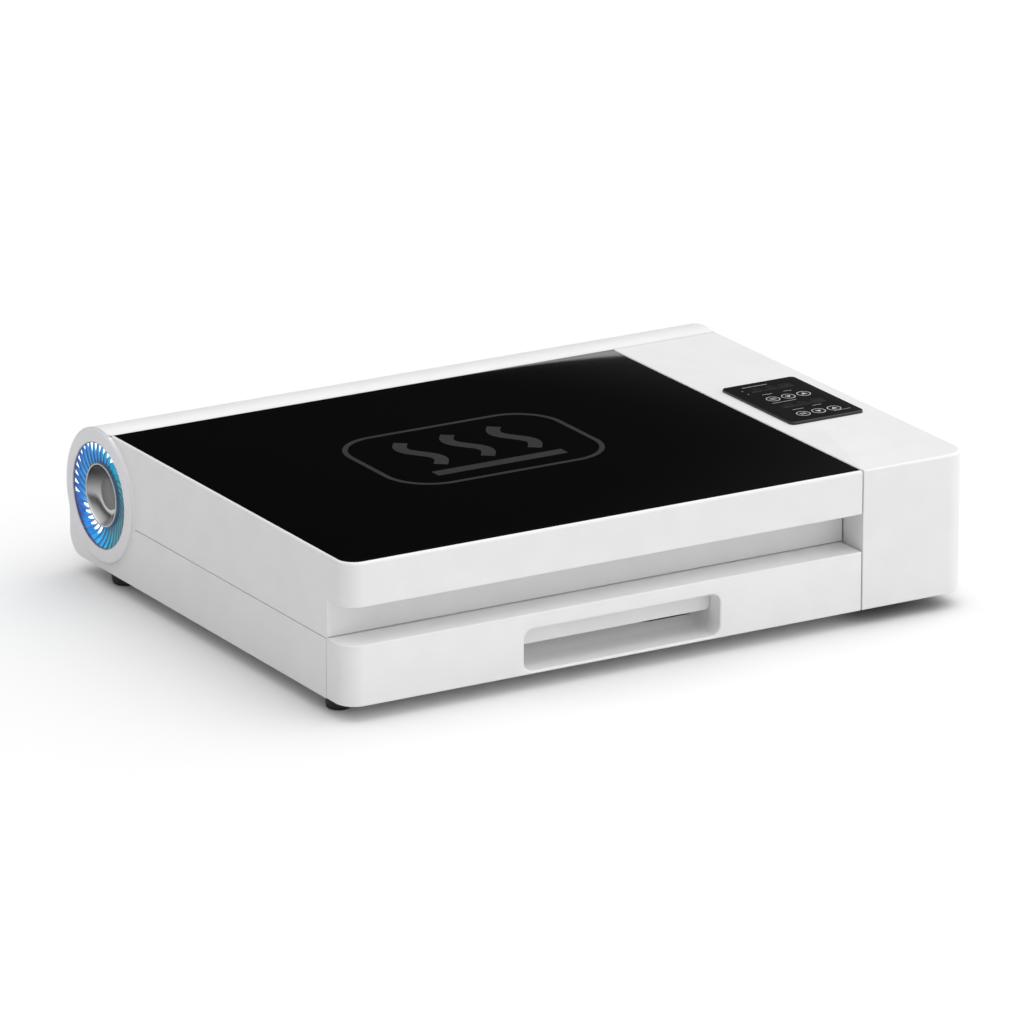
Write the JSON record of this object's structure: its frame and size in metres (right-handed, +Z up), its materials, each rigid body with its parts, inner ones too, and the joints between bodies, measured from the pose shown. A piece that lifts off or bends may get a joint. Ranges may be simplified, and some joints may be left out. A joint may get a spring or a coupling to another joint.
{
  "type": "drawer reflow oven",
  "caption": "Flat desktop heating oven with a sliding drawer tray, black glass top, side control column and a rear fume duct with a lit fan mouth.",
  "frame": {"origin": "middle of the footprint on the bench, under the whole object's box", "axes": "+X to the right seen from the front, the drawer's front faces -Y, +Z up"},
  "size_m": [0.654, 0.516, 0.151],
  "materials": {
    "white_plastic": "satin moulded",
    "black_glass": "polished black",
    "rubber": "matte",
    "charcoal_panel": "gloss",
    "key_cap": "gloss",
    "display_window": "smoked gloss",
    "indicator_lens": "translucent",
    "chrome_hub": "polished",
    "vane_plastic": "gloss",
    "light_diffuser": "lit diffuser",
    "black_plastic": "fine texture",
    "motor_metal": "satin",
    "carbon_filter": "pleated",
    "duct_aluminium": "brushed",
    "steel_sheet": "brushed",
    "rail_steel": "zinc plated",
    "rack_wire": "bright wire",
    "ceramic_fibre": "fibrous",
    "quartz": "frosted quartz",
    "ceramic_holder": "unglazed ceramic",
    "probe_steel": "fine brushed",
    "circuit_board": "solder mask",
    "screw_steel": "zinc plated"
  },
  "bodies": {
    "casing": {"base_pan": "white_plastic", "casing_screws": "screw_steel", "chamber_liner": "steel_sheet", "column_shell": "white_plastic", "duct_end_plug": "black_plastic", "duct_shell": "white_plastic", "duct_tube": "duct_aluminium", "fan_frame": "black_plastic", "fan_motor": "motor_metal", "fan_ring": "white_plastic", "filter_cartridge": "carbon_filter", "fixed_rail_left": "rail_steel", "fixed_rail_right": "rail_steel", "foot_front_left": "rubber", "foot_front_right": "rubber", "foot_rear_left": "rubber", "foot_rear_right": "rubber", "heat_shield": "steel_sheet", "heater_holder_left": "ceramic_holder", "heater_holder_right": "ceramic_holder", "heater_tube_1": "quartz", "heater_tube_2": "quartz", "heater_tube_3": "quartz", "heater_tube_4": "quartz", "hood_shell": "white_plastic", "hub_cone": "chrome_hub", "indicator_lights": "indicator_lens", "inlet_socket": "black_plastic", "insulation_blanket": "ceramic_fibre", "key_board": "circuit_board", "led_ring": "light_diffuser", "main_board": "circuit_board", "panel_bezel": "charcoal_panel", "power_supply": "steel_sheet", "solid_state_relay": "black_plastic", "swirl_vanes": "vane_plastic", "switch_housing": "black_plastic", "temperature_display": "display_window", "temperature_probe": "probe_steel", "timer_display": "display_window", "window_gasket": "rubber", "window_glass": "black_glass"},
    "drawer": {"drawer_front": "white_plastic", "pull_cup": "white_plastic", "drawer_tray": "steel_sheet", "drawer_screws": "screw_steel", "mesh_rack": "rack_wire", "drawer_rail_left": "rail_steel", "drawer_rail_right": "rail_steel"},
    "slides": {"middle_rail_left": "rail_steel", "middle_rail_right": "rail_steel"},
    "impeller": {"fan_impeller": "black_plastic"},
    "rocker": {"power_rocker": "black_plastic"},
    "heat_down_key": {"heat_down_key": "key_cap"},
    "heat_set_key": {"heat_set_key": "key_cap"},
    "heat_up_key": {"heat_up_key": "key_cap"},
    "time_down_key": {"time_down_key": "key_cap"},
    "time_set_key": {"time_set_key": "key_cap"},
    "time_up_key": {"time_up_key": "key_cap"}
  },
  "joints": [
    {"name": "drawer_slide", "type": "slide", "parent": "casing", "child": "drawer", "axis": [0, -1, 0], "range_m": [0, 0.3]},
    {"name": "slides_follow", "type": "slide", "parent": "casing", "child": "slides", "axis": [0, -1, 0], "range_m": [0, 0.15]},
    {"name": "impeller_spin", "type": "hinge", "parent": "casing", "child": "impeller", "pos_m": [-0.274, 0.1945, 0.0865], "axis": [1, 0, 0], "continuous": true},
    {"name": "power_rocker_tilt", "type": "hinge", "parent": "casing", "child": "rocker", "pos_m": [0.239, 0.2525, 0.0475], "axis": [-1, 0, 0], "range_deg": [0, 20]},
    {"name": "heat_down_key_press", "type": "slide", "parent": "casing", "child": "heat_down_key", "axis": [0, 0, -1], "range_m": [0, 0.0005], "stiffness_N_per_m": 400},
    {"name": "heat_set_key_press", "type": "slide", "parent": "casing", "child": "heat_set_key", "axis": [0, 0, -1], "range_m": [0, 0.0005], "stiffness_N_per_m": 400},
    {"name": "heat_up_key_press", "type": "slide", "parent": "casing", "child": "heat_up_key", "axis": [0, 0, -1], "range_m": [0, 0.0005], "stiffness_N_per_m": 400},
    {"name": "time_down_key_press", "type": "slide", "parent": "casing", "child": "time_down_key", "axis": [0, 0, -1], "range_m": [0, 0.0005], "stiffness_N_per_m": 400},
    {"name": "time_set_key_press", "type": "slide", "parent": "casing", "child": "time_set_key", "axis": [0, 0, -1], "range_m": [0, 0.0005], "stiffness_N_per_m": 400},
    {"name": "time_up_key_press", "type": "slide", "parent": "casing", "child": "time_up_key", "axis": [0, 0, -1], "range_m": [0, 0.0005], "stiffness_N_per_m": 400}
  ],
  "couplings": [
    {"joint": "slides_follow", "follows": "drawer_slide", "ratio": 0.5}
  ]
}
